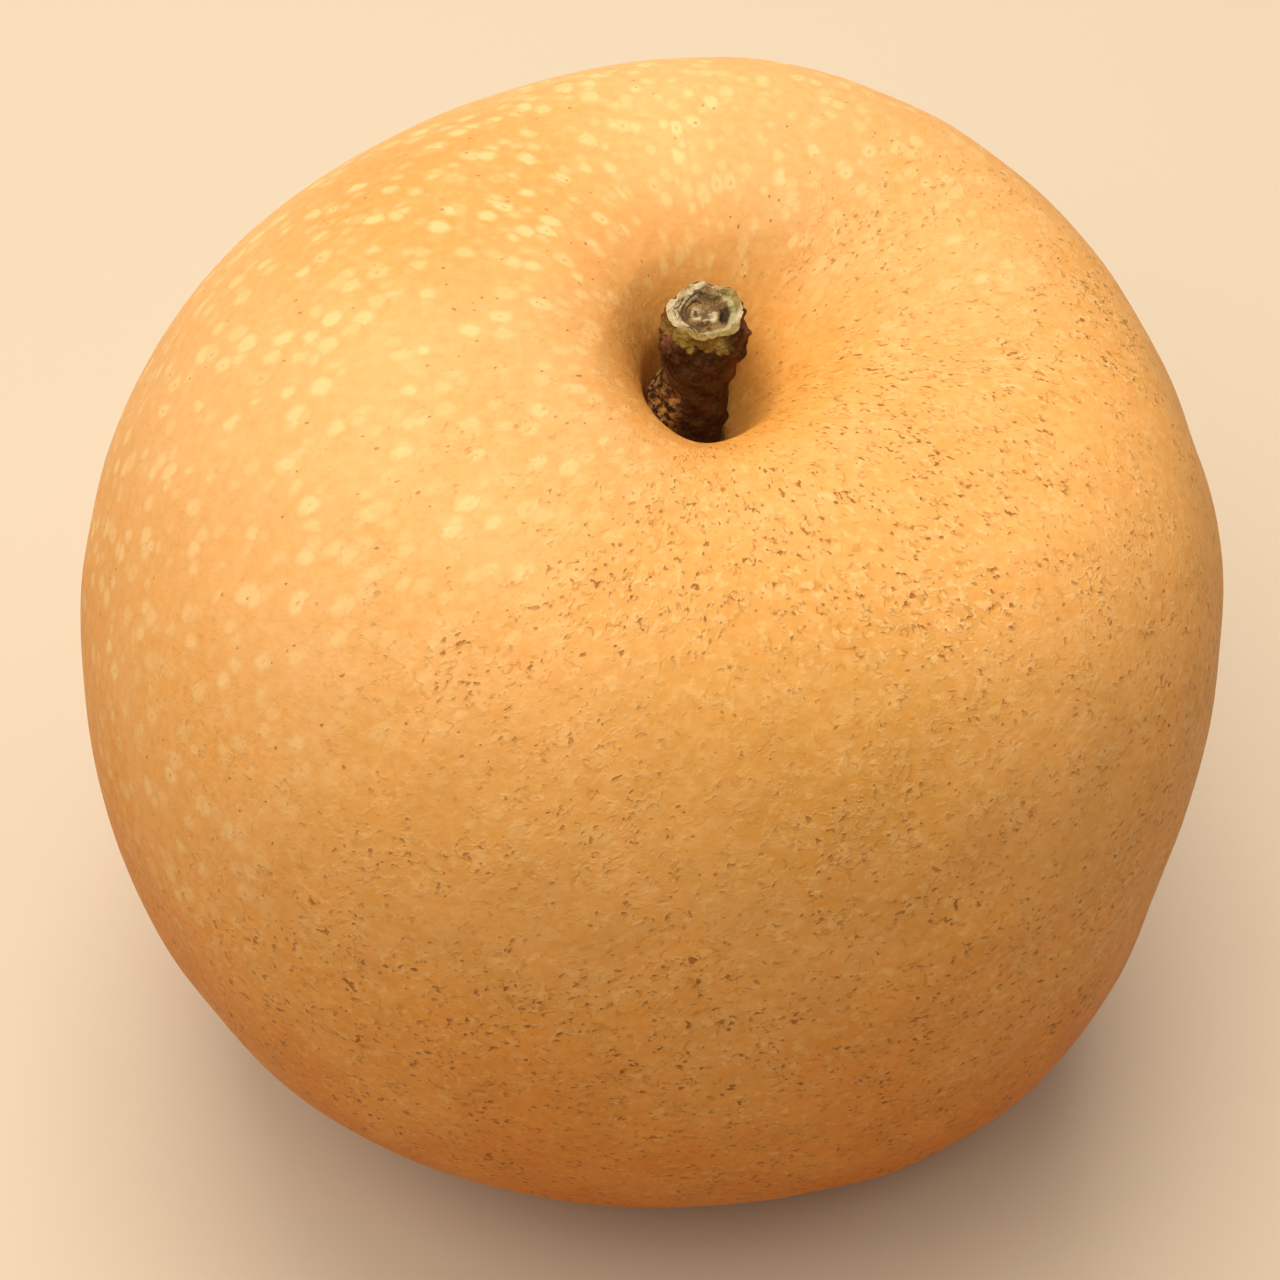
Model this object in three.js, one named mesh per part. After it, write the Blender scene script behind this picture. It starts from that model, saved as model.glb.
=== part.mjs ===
// A round russet pear (an Asian pear, or nashi) with its clipped stem, standing on its calyx end.
// Units are millimetres and +Z is up. The pear stands on z = 0, centred on its own footprint.
// Azimuths are in degrees, counted from +X towards +Y.
//
// It has two grown pieces:
//   fruit  one solid: calyx basin, flat foot, belly, crown, stem bowl and the socket of the stem
//   stem   one solid: a woody stem, flared and ragged at its cut, rooted in the fruit's socket

import * as THREE from 'three';
import { ParametricGeometry } from 'three/addons/geometries/ParametricGeometry.js';

// ---- Driving dimensions of the fruit ------------------------------------------------------

const BELLY_RADIUS = 45.2; // mean radius of the widest ring
const BELLY_HEIGHT = 41.4; // height of the widest ring
const CROWN_RADIUS = 20; // radius of the highest ring, round the stem bowl
const CROWN_HEIGHT = 80.4; // mean height of the highest ring
const FOOT_OUTER_RADIUS = 12; // the flat ring that the pear rests on
const FOOT_INNER_RADIUS = 9;
const LOWER_SQUARENESS = 2.42; // superellipse exponents: 2 is an ellipse, more is squarer
const UPPER_SQUARENESS = 2.31;

const CALYX_DEPTH = 6; // the dimple at the calyx end
const SCAR_RADIUS = 3.2; // the round scar that the flower left in the middle of the dimple
const SCAR_DEPTH = 1.4;

const STEM_FOOT_HEIGHT = 68; // the bottom of the stem pit, where the stem comes out
const PIT_DEPTH = 2.8; // the narrow pit at the bottom of the bowl
const PIT_RADIUS = 5.6;
const BOWL_POWER = 3.1; // how late the bowl steepens towards the stem
const SOCKET_DEPTH = 3; // the round hole that holds the stem's root

// Uneven growth: each wave has a count round the fruit, its share of the size, and the azimuth
// of one of its crests.
const BELLY_WAVES = [
  { count: 2, share: 0.0155, crest: -21 },
  { count: 3, share: 0.019, crest: 74 },
  { count: 4, share: 0.0205, crest: -32 },
];
const CROWN_WAVES = [
  { count: 1, share: 0.08, crest: 140 },
  { count: 2, share: 0.0195, crest: -39 },
  { count: 3, share: 0.0165, crest: 82 },
  { count: 5, share: 0.006, crest: 21 },
];
const SQUARENESS_WAVES = [{ count: 1, share: 0.078, crest: 0 }]; // of the lower half only

// The core line runs from the calyx to the stem. It leans, and it bows on the way.
const CORE_LEAN = new THREE.Vector2(3.5, -3.25);
const CORE_BOW = new THREE.Vector2(-9.5, 1.25);

// ---- Driving dimensions of the stem -------------------------------------------------------

const STEM_LENGTH = 12.7; // from the bottom of the pit to the cut
const STEM_ROOT_RADIUS = 2.7; // the round root in the socket
const STEM_NECK_RADIUS = 2.55; // the thin middle
const STEM_FLARE_RADIUS = 3.25; // the swelling under the cut
const STEM_CUT_RADIUS = 2.85; // the edge of the cut itself
const STEM_LEAN = 1.5; // how far the cut stands off the root, towards +X
const STEM_LEAN_POWER = 0.65; // less than 1: the stem bends near its foot
const CORK_BULGE = 1.1; // the corky swelling at the foot, on the side that the stem leans from
const CORK_AZIMUTH = 195;
const BARK_LUMP = 0.11; // height of the bark's lumps
const CUT_DISH = 0.5; // how far the cut face sinks below its rim
const SPUR_HEIGHT = 0.5; // the sliver of wood left standing at the back of the cut
const SPUR_AZIMUTH = 100;
const GAP = 0.3; // clearance between stem and fruit

// ---- How finely the surfaces are divided --------------------------------------------------

const FRUIT_SIDES = 64;
const FRUIT_RINGS = { basin: 6, foot: 1, lower: 11, upper: 11, bowl: 11, socket: 1, floor: 1 };
const STEM_SIDES = 32;
const STEM_RINGS = { base: 1, root: 1, bark: 16, rim: 2, face: 5 };

const { degToRad, lerp, smoothstep, clamp } = THREE.MathUtils;

/** The sum of a list of waves at an azimuth, each share * cos(count * (azimuth - crest)). */
function waves(list, azimuth) {
  return list.reduce(
    (sum, { count, share, crest }) => sum + share * Math.cos(count * (azimuth - degToRad(crest))),
    0,
  );
}

/** The stretch of the outline that a ring number falls in, and how far along it, from 0 to 1. */
function stretchAt(rings, ring) {
  let first = 0;
  for (const [name, count] of Object.entries(rings)) {
    if (ring <= first + count) return { name, along: (ring - first) / count };
    first += count;
  }
  throw new RangeError(`there is no ring ${ring}`);
}

/**
 * A closed surface of rings, from the bottom centre round the outside to the top centre.
 * pointAt(name, along, azimuth, target) places a point of one stretch of the outline.
 */
function ringedSurface(rings, sides, pointAt) {
  const total = Object.values(rings).reduce((sum, count) => sum + count, 0);
  return new ParametricGeometry(
    (u, v, target) => {
      const { name, along } = stretchAt(rings, Math.round(v * total));
      pointAt(name, along, u * 2 * Math.PI, target);
    },
    sides,
    total,
  );
}

// ---- Fruit --------------------------------------------------------------------------------

/** Where the core line is at a height: the lean grows with its square, the bow is most halfway. */
function coreAt(height) {
  const share = clamp(height / CROWN_HEIGHT, 0, 1);
  return new THREE.Vector2()
    .addScaledVector(CORE_LEAN, share ** 2)
    .addScaledVector(CORE_BOW, 2 * share * (1 - share));
}

const bellyRadius = (azimuth) => BELLY_RADIUS * (1 + waves(BELLY_WAVES, azimuth));
const crownHeight = (azimuth) =>
  BELLY_HEIGHT + (CROWN_HEIGHT - BELLY_HEIGHT) * (1 + waves(CROWN_WAVES, azimuth));

const SOCKET_RADIUS = STEM_ROOT_RADIUS + GAP;

/** Height of the calyx basin at a radius: a rounded dimple with the scar sunk in its middle. */
function basinHeight(radius) {
  const dimple = 1 - smoothstep(radius, 0, FOOT_INNER_RADIUS);
  const scar = 1 - smoothstep(radius, 0, SCAR_RADIUS);
  return CALYX_DEPTH * dimple + SCAR_DEPTH * scar;
}

/** Height of the stem bowl at a radius: level at the crown, steepest in the pit at the stem. */
function bowlHeight(radius, azimuth) {
  const inward = (CROWN_RADIUS - radius) / (CROWN_RADIUS - SOCKET_RADIUS);
  const bowl = lerp(crownHeight(azimuth), STEM_FOOT_HEIGHT + PIT_DEPTH, inward ** BOWL_POWER);
  return bowl - PIT_DEPTH * (1 - smoothstep(radius, SOCKET_RADIUS, PIT_RADIUS));
}

/** The radius and height of the skin along each stretch of the fruit's outline. */
const fruitOutline = {
  basin: (along) => [FOOT_INNER_RADIUS * along, basinHeight(FOOT_INNER_RADIUS * along)],
  foot: (along) => [lerp(FOOT_INNER_RADIUS, FOOT_OUTER_RADIUS, along), 0],
  lower: (along, azimuth) => {
    const angle = (along * Math.PI) / 2;
    const power = 2 / (LOWER_SQUARENESS * (1 + waves(SQUARENESS_WAVES, azimuth)));
    const radius = lerp(FOOT_OUTER_RADIUS, bellyRadius(azimuth), Math.sin(angle) ** power);
    return [radius, BELLY_HEIGHT * (1 - Math.cos(angle) ** power)];
  },
  upper: (along, azimuth) => {
    const angle = (along * Math.PI) / 2;
    const power = 2 / UPPER_SQUARENESS;
    const radius = lerp(CROWN_RADIUS, bellyRadius(azimuth), Math.cos(angle) ** power);
    return [radius, lerp(BELLY_HEIGHT, crownHeight(azimuth), Math.sin(angle) ** power)];
  },
  bowl: (along, azimuth) => {
    const radius = lerp(CROWN_RADIUS, SOCKET_RADIUS, along);
    return [radius, bowlHeight(radius, azimuth)];
  },
  socket: (along) => [SOCKET_RADIUS, STEM_FOOT_HEIGHT - SOCKET_DEPTH * along],
  floor: (along) => [SOCKET_RADIUS * (1 - along), STEM_FOOT_HEIGHT - SOCKET_DEPTH],
};

function fruitPoint(name, along, azimuth, target) {
  const [radius, height] = fruitOutline[name](along, azimuth);
  const core = coreAt(height);
  target.set(core.x + radius * Math.cos(azimuth), core.y + radius * Math.sin(azimuth), height);
}

function makeFruit() {
  const skin = new THREE.MeshStandardMaterial({ color: 0xdf9c4c, roughness: 0.55, metalness: 0 });
  const fruit = new THREE.Mesh(ringedSurface(FRUIT_RINGS, FRUIT_SIDES, fruitPoint), skin);
  fruit.name = 'fruit';
  return fruit;
}

// ---- Stem ---------------------------------------------------------------------------------

/** The bark's lumps at a height above the pit: crossing waves that fade out at the root. */
function barkLumps(azimuth, height) {
  const sum =
    Math.sin(3 * azimuth + 0.9 * height) +
    Math.sin(5 * azimuth - 1.7 * height + 1) +
    Math.sin(7 * azimuth + 2.9 * height + 2);
  return BARK_LUMP * sum * smoothstep(height, 0.5, 3);
}

/** Radius of the stem at a height: root, corky foot, thin neck, flare, and a narrower cut. */
function stemRadius(azimuth, height) {
  const share = height / STEM_LENGTH;
  const neck = lerp(STEM_ROOT_RADIUS, STEM_NECK_RADIUS, smoothstep(share, 0, 0.35));
  const flare = lerp(neck, STEM_FLARE_RADIUS, smoothstep(share, 0.42, 0.85));
  const bevel = lerp(flare, STEM_CUT_RADIUS, smoothstep(share, 0.86, 1));
  const swollenSide = Math.max(0, Math.cos(azimuth - degToRad(CORK_AZIMUTH))) ** 2;
  const swelling = smoothstep(share, 0.07, 0.3) * (1 - smoothstep(share, 0.3, 0.62));
  return bevel + CORK_BULGE * swollenSide * swelling + barkLumps(azimuth, height);
}

/** Height of the cut at an azimuth: level, with a spur of wood left standing at the back. */
function cutHeight(azimuth) {
  const spur = Math.max(0, Math.cos(azimuth - degToRad(SPUR_AZIMUTH))) ** 4;
  return STEM_LENGTH + SPUR_HEIGHT * spur;
}

const RIM_INNER_SHARE = 0.86; // the inner edge of the rim, as a share of its radius

/** The radius and height of the surface along each stretch of the stem's outline. */
const stemOutline = {
  base: (along) => [STEM_ROOT_RADIUS * along, GAP - SOCKET_DEPTH],
  root: (along) => [STEM_ROOT_RADIUS, (GAP - SOCKET_DEPTH) * (1 - along)],
  bark: (along, azimuth) => {
    const height = cutHeight(azimuth) * along;
    return [stemRadius(azimuth, height), height];
  },
  rim: (along, azimuth) => {
    const height = cutHeight(azimuth);
    return [stemRadius(azimuth, height) * lerp(1, RIM_INNER_SHARE, along), height];
  },
  face: (along, azimuth) => {
    const height = cutHeight(azimuth);
    const edge = stemRadius(azimuth, height) * RIM_INNER_SHARE;
    return [edge * (1 - along), lerp(height, STEM_LENGTH - CUT_DISH, smoothstep(along, 0, 0.5))];
  },
};

function stemPoint(name, along, azimuth, target) {
  const [radius, height] = stemOutline[name](along, azimuth);
  const core = coreAt(STEM_FOOT_HEIGHT + Math.min(height, 0));
  const lean = STEM_LEAN * Math.max(0, height / STEM_LENGTH) ** STEM_LEAN_POWER;
  target.set(
    core.x + lean + radius * Math.cos(azimuth),
    core.y + radius * Math.sin(azimuth),
    STEM_FOOT_HEIGHT + height,
  );
}

function makeStem() {
  const bark = new THREE.MeshStandardMaterial({ color: 0x4f3019, roughness: 0.8, metalness: 0 });
  const stem = new THREE.Mesh(ringedSurface(STEM_RINGS, STEM_SIDES, stemPoint), bark);
  stem.name = 'stem';
  return stem;
}

// ---- Pear ---------------------------------------------------------------------------------

const pear = new THREE.Group();
pear.add(makeFruit(), makeStem());

// The origin goes to the middle of the footprint.
const middle = new THREE.Box3().setFromObject(pear).getCenter(new THREE.Vector3());
pear.position.set(-middle.x, -middle.y, 0);

export default pear;
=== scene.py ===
"""Looks of a round russet pear with its clipped stem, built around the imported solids.

The fruit and the stem are surfaces of rings worked out with numpy. Both have the form of the solids
that they stand for, with finer divisions. All lengths are millimetres, and what goes into Blender is
turned to metres as it is made.
"""

from __future__ import annotations

import logging
from collections.abc import Sequence
from dataclasses import dataclass, field
from enum import Enum
from math import cos, pi, radians, sin

import bpy
import numpy as np
from numpy.typing import NDArray
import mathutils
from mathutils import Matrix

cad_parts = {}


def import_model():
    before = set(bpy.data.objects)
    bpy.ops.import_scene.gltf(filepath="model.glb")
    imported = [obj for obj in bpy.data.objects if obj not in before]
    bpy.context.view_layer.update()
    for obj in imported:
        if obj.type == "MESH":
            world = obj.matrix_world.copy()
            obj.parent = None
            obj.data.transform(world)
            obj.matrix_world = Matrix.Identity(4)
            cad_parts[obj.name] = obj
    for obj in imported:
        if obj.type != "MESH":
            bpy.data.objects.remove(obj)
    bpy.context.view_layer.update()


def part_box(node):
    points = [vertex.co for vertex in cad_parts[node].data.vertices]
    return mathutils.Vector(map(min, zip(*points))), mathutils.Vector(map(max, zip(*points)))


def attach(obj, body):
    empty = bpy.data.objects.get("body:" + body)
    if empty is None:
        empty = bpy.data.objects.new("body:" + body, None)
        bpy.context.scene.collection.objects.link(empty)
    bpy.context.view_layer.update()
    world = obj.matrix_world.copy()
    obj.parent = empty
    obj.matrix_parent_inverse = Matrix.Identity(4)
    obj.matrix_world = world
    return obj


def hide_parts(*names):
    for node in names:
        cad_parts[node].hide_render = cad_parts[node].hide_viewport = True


Array = NDArray[np.float64]
Corners = NDArray[np.int64]
Colour = tuple[float, float, float]
Vector = tuple[float, float, float]
Socket = bpy.types.NodeSocket
SocketValue = Socket | float | int | Colour

# Where a smooth step is 0 and where it is 1, or a value at its least and at its most.
Range = tuple[float, float]

MM = 0.001
RIGHT, BACK, UP = (1.0, 0.0, 0.0), (0.0, 1.0, 0.0), (0.0, 0.0, 1.0)

# The smallest and the largest scattered spot, as shares of the mean radius.
SPOT_SIZES: Range = (0.75, 1.25)

# The Mix node keeps a set of sockets for each kind of value; these are the ones of its colours.
MIX_BASE, MIX_TOP, MIX_RESULT = 6, 7, 2

log = logging.getLogger("pear")


# ---- Shapes ---------------------------------------------------------------------------------


@dataclass(frozen=True)
class Wave:
    """One wave of uneven growth round the fruit.

    Attributes:
        count: how many crests it has in one turn.
        share: its height, as a share of the size that it changes.
        crest: the azimuth of one of its crests, in degrees from +X towards +Y.
    """

    count: int
    share: float
    crest: float

    def at(self, azimuth: Array) -> Array:
        """Share times the cosine of count times the angle from the crest."""
        return self.share * np.cos(self.count * (azimuth - radians(self.crest)))


def wave_sum(waves: tuple[Wave, ...], azimuth: Array) -> Array:
    """The sum of several waves at each azimuth."""
    return sum((wave.at(azimuth) for wave in waves), np.zeros_like(azimuth))


def lerp(start: Array | float, end: Array | float, share: Array | float) -> Array:
    """The value that lies a share of the way from start to end."""
    return start + (end - start) * share


def smooth(value: Array, low: float, high: float) -> Array:
    """Smoothstep: 0 below low, 1 above high, and 3t^2 - 2t^3 between them."""
    share = np.clip((value - low) / (high - low), 0.0, 1.0)
    return share * share * (3.0 - 2.0 * share)


def steps(count: int, first: bool = False) -> Array:
    """Even steps from 0 to 1 as a column, with or without the 0.

    Args:
        count: the number of steps.
        first: True keeps the 0.

    Returns:
        The shares, one ring each, in an array of one column.
    """
    shares = np.linspace(0.0, 1.0, count + 1)[:, None]
    return shares if first else shares[1:]


@dataclass(frozen=True)
class Bumps:
    """Smooth random bumps: the mean of plane waves of random direction and phase.

    Attributes:
        length: the typical wavelength in millimetres.
        count: how many waves are added.
        seed: the seed of the random draw.
        spread: the shortest and the longest wavelength, as shares of the typical one.
    """

    length: float
    count: int
    seed: int
    spread: Range = (0.7, 1.4)

    def at(self, points: Array) -> Array:
        """The bumps at some places: the sum of cosines, scaled to about -1 to 1.

        Args:
            points: places in millimetres, with x, y and z on the last axis.

        Returns:
            One value for each place.
        """
        rng = np.random.default_rng(self.seed)
        direction = rng.normal(size=(self.count, 3))
        direction /= np.linalg.norm(direction, axis=1, keepdims=True)
        turns = direction * (2.0 * pi / (self.length * rng.uniform(*self.spread, (self.count, 1))))
        phase = rng.uniform(0.0, 2.0 * pi, self.count)
        return np.cos(points @ turns.T + phase).sum(axis=-1) / np.sqrt(self.count)


def around(sides: int) -> Array:
    """Even azimuths in radians, one for each side of a ring."""
    return np.arange(sides) * 2.0 * pi / sides


def turned(radius: Array, height: Array, azimuth: Array) -> Array:
    """Places of rings: radius times the cosine and sine of the azimuth, and the height.

    Args:
        radius: the radii.
        height: the heights.
        azimuth: the azimuths in radians.

    Returns:
        The places, with x, y and z on the last axis.
    """
    return np.stack([radius * np.cos(azimuth), radius * np.sin(azimuth), height], axis=-1)


def join(stretches: list[tuple[Array | float, ...]], sides: int) -> list[Array]:
    """Puts stretches of an outline one after another.

    Args:
        stretches: each stretch's radii, heights and so on. Of these, a column has one value for all
            sides of a ring, and a plain number is the same for the whole stretch.
        sides: the number of points in a ring.

    Returns:
        All radii, all heights and so on, each as rings by sides.
    """
    even = np.ones(sides)
    full = [np.broadcast_arrays(*stretch, even)[:-1] for stretch in stretches]
    return [np.concatenate(parts) for parts in zip(*full, strict=True)]


def ring_faces(rings: int, sides: int) -> tuple[Corners, Corners]:
    """Corners of a closed surface of rings that ends in one point at each end.

    Point 0 is the bottom pole, then come the rings one after another, and the top pole is last.
    Between two rings lie quads; each pole has a fan of triangles. All faces point outwards.

    Args:
        rings: the number of rings, without the poles.
        sides: the number of points in a ring.

    Returns:
        The triangles of both fans and the quads, each as rows of point numbers.
    """
    here = np.arange(sides)
    after = (here + 1) % sides
    top = rings * sides + 1
    last = top - sides
    below = np.stack([np.zeros(sides, int), after + 1, here + 1], axis=1)
    above = np.stack([np.full(sides, top), last + here, last + after], axis=1)
    start = 1 + np.arange(rings - 1)[:, None] * sides
    corners = [start + here, start + after, start + sides + after, start + sides + here]
    quads = np.stack(corners, axis=-1).reshape(-1, 4)
    return np.concatenate([below, above]), quads


def ringed_object(name: str, points: Array) -> bpy.types.Object:
    """A smooth closed object from rings of points.

    Args:
        name: the object's name.
        points: millimetres, as rings by sides by 3. The first and the last ring are poles: all their
            points are alike.

    Returns:
        The object, at the origin, with its place in its mesh and its faces pointing outwards.
    """
    rings, sides = points.shape[0] - 2, points.shape[1]
    flat = np.concatenate([points[:1, 0], points[1:-1].reshape(-1, 3), points[-1:, 0]]) * MM
    triangles, quads = ring_faces(rings, sides)
    mesh = bpy.data.meshes.new(name)
    mesh.vertices.add(len(flat))
    mesh.vertices.foreach_set("co", flat.ravel())
    sizes = np.concatenate([np.full(len(triangles), 3), np.full(len(quads), 4)])
    mesh.loops.add(int(sizes.sum()))
    corners = np.concatenate([triangles.ravel(), quads.ravel()])
    mesh.loops.foreach_set("vertex_index", corners.astype(np.int32))
    mesh.polygons.add(len(sizes))
    mesh.polygons.foreach_set("loop_start", np.concatenate([[0], np.cumsum(sizes)[:-1]]).astype(np.int32))
    mesh.update(calc_edges=True)
    mesh.validate()
    mesh.polygons.foreach_set("use_smooth", np.ones(len(mesh.polygons), bool))
    piece = bpy.data.objects.new(name, mesh)
    bpy.context.scene.collection.objects.link(piece)
    return piece


def add_attribute(piece: bpy.types.Object, name: str, values: Array) -> None:
    """Stores a value for each point of a ringed object.

    Args:
        piece: the object.
        name: the attribute's name.
        values: rings by sides for one number a point, or rings by sides by 3 for a vector.
    """
    single = values.ndim == 2
    rows = values[..., None] if single else values
    flat = np.concatenate([rows[:1, 0], rows[1:-1].reshape(-1, rows.shape[-1]), rows[-1:, 0]])
    kind, key = ("FLOAT", "value") if single else ("FLOAT_VECTOR", "vector")
    attribute = piece.data.attributes.new(name, kind, "POINT")
    attribute.data.foreach_set(key, flat.astype(np.float32).ravel())


def fit_to_node(points: Array, node: str) -> Array:
    """Sets points into the box of a CAD node: each axis is moved, and stretched by a hair.

    Args:
        points: places in millimetres.
        node: the CAD node whose box they get.

    Returns:
        The places in the frame of the CAD, in millimetres.
    """
    low, high = (np.array(corner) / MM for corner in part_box(node))
    own_low, own_high = points.min(axis=(0, 1)), points.max(axis=(0, 1))
    return low + (points - own_low) * (high - low) / (own_high - own_low)


# ---- Fruit ----------------------------------------------------------------------------------


@dataclass
class Fruit:
    """The fruit: one surface from the calyx scar round the belly to the socket of the stem.

    The dented radii are in shares of the crown's radius, and the scar's edge in shares of the scar's.
    """

    belly_radius: float = 45.2
    belly_height: float = 41.4
    crown_radius: float = 20.0
    crown_height: float = 80.4
    foot_outer_radius: float = 12.0
    foot_inner_radius: float = 9.0
    lower_squareness: float = 2.42
    upper_squareness: float = 2.31
    calyx_depth: float = 6.0
    scar_radius: float = 3.2
    scar_depth: float = 1.4
    stem_foot_height: float = 68.0
    pit_depth: float = 2.8
    pit_radius: float = 5.6
    bowl_power: float = 3.1
    socket_radius: float = 3.0
    socket_depth: float = 3.0
    belly_waves: tuple[Wave, ...] = (Wave(2, 0.0155, -21), Wave(3, 0.019, 74), Wave(4, 0.0205, -32))
    crown_waves: tuple[Wave, ...] = (
        Wave(1, 0.08, 140),
        Wave(2, 0.0195, -39),
        Wave(3, 0.0165, 82),
        Wave(5, 0.006, 21),
    )
    squareness_waves: tuple[Wave, ...] = (Wave(1, 0.078, 0),)
    core_lean: tuple[float, float] = (3.5, -3.25)
    core_bow: tuple[float, float] = (-9.5, 1.25)
    dent_height: float = 0.1
    dents: Bumps = Bumps(11.0, 40, seed=5)
    dented_radii: Range = (0.6, 1.0)
    dented_heights: Range = (0.5, 8.0)
    scar_edge: Range = (0.7, 1.4)
    grown_power: float = 0.55
    least_rise: float = 0.35
    sides: int = 340
    basin_rings: int = 26
    flank_rings: int = 86
    bowl_rings: int = 64
    flat_rings: int = 6
    floor_rings: int = 4
    piece: bpy.types.Object | None = field(default=None, init=False)

    def core(self, height: Array) -> Array:
        """Sideways place of the core line: lean times share squared plus bow times 2 share (1 - share)."""
        share = np.clip(height / self.crown_height, 0.0, 1.0)[..., None]
        return np.array(self.core_lean) * share**2 + np.array(self.core_bow) * 2.0 * share * (1.0 - share)

    def outline(self, azimuth: Array) -> list[Array]:
        """Radius and height of every ring at every azimuth, from the calyx to the socket's floor.

        The flanks are quarter superellipses between the foot, the belly and the crown. The calyx
        basin, the bowl and the pit are smooth dimples, and the socket is a plain round hole.

        Args:
            azimuth: the azimuths in radians.

        Returns:
            The radii and the heights in millimetres, each as rings by sides.
        """
        belly = self.belly_radius * (1.0 + wave_sum(self.belly_waves, azimuth))
        rise = self.crown_height - self.belly_height
        crown = self.belly_height + rise * (1.0 + wave_sum(self.crown_waves, azimuth))
        flat, floor = steps(self.flat_rings), steps(self.floor_rings)
        foot = lerp(self.foot_inner_radius, self.foot_outer_radius, flat)
        bottom = self.stem_foot_height - self.socket_depth
        wall = lerp(self.stem_foot_height, bottom, flat)
        return join(
            [
                self.basin(),
                (foot, 0.0),
                self.lower_flank(belly, azimuth),
                self.upper_flank(belly, crown),
                self.bowl(crown),
                (self.socket_radius, wall),
                (self.socket_radius * (1.0 - floor), bottom),
            ],
            self.sides,
        )

    def basin(self) -> tuple[Array, Array]:
        """The calyx basin: a smooth dimple with the flower's scar sunk in its middle.

        Returns:
            The radii and the heights.
        """
        radius = self.foot_inner_radius * steps(self.basin_rings, first=True)
        dimple = 1.0 - smooth(radius, 0.0, self.foot_inner_radius)
        scar = 1.0 - smooth(radius, 0.0, self.scar_radius)
        return radius, self.calyx_depth * dimple + self.scar_depth * scar

    def lower_flank(self, belly: Array, azimuth: Array) -> tuple[Array, Array]:
        """From the foot to the belly, squarer on the side that the crest of its wave is on.

        Args:
            belly: the radius of the belly at each azimuth.
            azimuth: the azimuths in radians.

        Returns:
            The radii and the heights.
        """
        angle = steps(self.flank_rings) * pi / 2.0
        power = 2.0 / (self.lower_squareness * (1.0 + wave_sum(self.squareness_waves, azimuth)))
        radius = lerp(self.foot_outer_radius, belly, np.sin(angle) ** power)
        return radius, self.belly_height * (1.0 - np.abs(np.cos(angle)) ** power)

    def upper_flank(self, belly: Array, crown: Array) -> tuple[Array, Array]:
        """From the belly to the crown, the highest ring.

        Args:
            belly: the radius of the belly at each azimuth.
            crown: the height of the crown at each azimuth.

        Returns:
            The radii and the heights.
        """
        angle = steps(self.flank_rings) * pi / 2.0
        power = 2.0 / self.upper_squareness
        radius = lerp(self.crown_radius, belly, np.abs(np.cos(angle)) ** power)
        return radius, lerp(self.belly_height, crown, np.sin(angle) ** power)

    def bowl(self, crown: Array) -> tuple[Array, Array]:
        """The bowl round the stem, level at the crown, with the steep pit in its middle.

        Args:
            crown: the height of the crown at each azimuth.

        Returns:
            The radii and the heights.
        """
        radius = lerp(self.crown_radius, self.socket_radius, steps(self.bowl_rings))
        inward = (self.crown_radius - radius) / (self.crown_radius - self.socket_radius)
        floor = self.stem_foot_height + self.pit_depth
        height = lerp(crown, floor, inward**self.bowl_power)
        pit = 1.0 - smooth(radius, self.socket_radius, self.pit_radius)
        return radius, height - self.pit_depth * pit

    def skin_places(self, radius: Array, height: Array, azimuth: Array) -> Array:
        """Places on the skin as it was before it grew into the bowl, for patterns that grew with it.

        A ring of the grown skin goes back to a wider one, by the radius to a power below 1, while
        lengths along the meridian stay. So a round dot there is a dot drawn out towards the stem here.

        Args:
            radius: the radii of the rings in millimetres.
            height: their heights.
            azimuth: the azimuths in radians.

        Returns:
            The places in millimetres, rings by sides by 3.
        """
        wide = self.belly_radius * (radius / self.belly_radius) ** self.grown_power
        along = np.hypot(np.diff(radius, axis=0), np.diff(height, axis=0))
        least = (self.least_rise * along) ** 2
        rise = np.sqrt(np.clip(along**2 - np.diff(wide, axis=0) ** 2, least, None))
        up = np.concatenate([np.zeros_like(radius[:1]), np.cumsum(rise, axis=0)])
        return turned(wide, up, azimuth)

    def build(self) -> bpy.types.Object:
        """Makes the skin as one closed surface, with its soft dents and its pattern's places.

        Returns:
            The piece that stands for the CAD node "fruit".
        """
        azimuth = around(self.sides)
        radius, height = self.outline(azimuth)
        core = self.core(height)
        outward = np.stack([np.cos(azimuth), np.sin(azimuth)], axis=-1)
        places = turned(radius, height, azimuth)
        flank = smooth(radius / self.crown_radius, *self.dented_radii)
        dents = self.dent_height * self.dents.at(places) * flank * smooth(height, *self.dented_heights)
        places[..., :2] += core + outward * dents[..., None]
        places = fit_to_node(places, "fruit")
        self.piece = ringed_object("fruit_skin", places)
        add_attribute(self.piece, "skin_place", self.skin_places(radius, height, azimuth))
        low = 1.0 - smooth(height, self.calyx_depth, self.belly_height)
        scar = 1.0 - smooth(radius / self.scar_radius, *self.scar_edge)
        add_attribute(self.piece, "scar", low * scar)
        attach(self.piece, "root")
        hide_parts("fruit")
        log.info("fruit_skin: %d points", len(self.piece.data.vertices))
        return self.piece

    def dress(self, finish: RussetSkin) -> None:
        """Gives the fruit its skin."""
        self.piece.data.materials.append(finish.material())


# ---- Stem -----------------------------------------------------------------------------------


@dataclass(frozen=True)
class Lump:
    """Slow ridges that wind round the stem.

    Attributes:
        count: how many there are in one turn.
        twist: radians that they wind in a millimetre of height.
        phase: where they start, in radians.
    """

    count: int
    twist: float
    phase: float

    def at(self, azimuth: Array, height: Array) -> Array:
        """The sine of count times azimuth plus twist times height plus phase."""
        return np.sin(self.count * azimuth + self.twist * height + self.phase)


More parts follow.
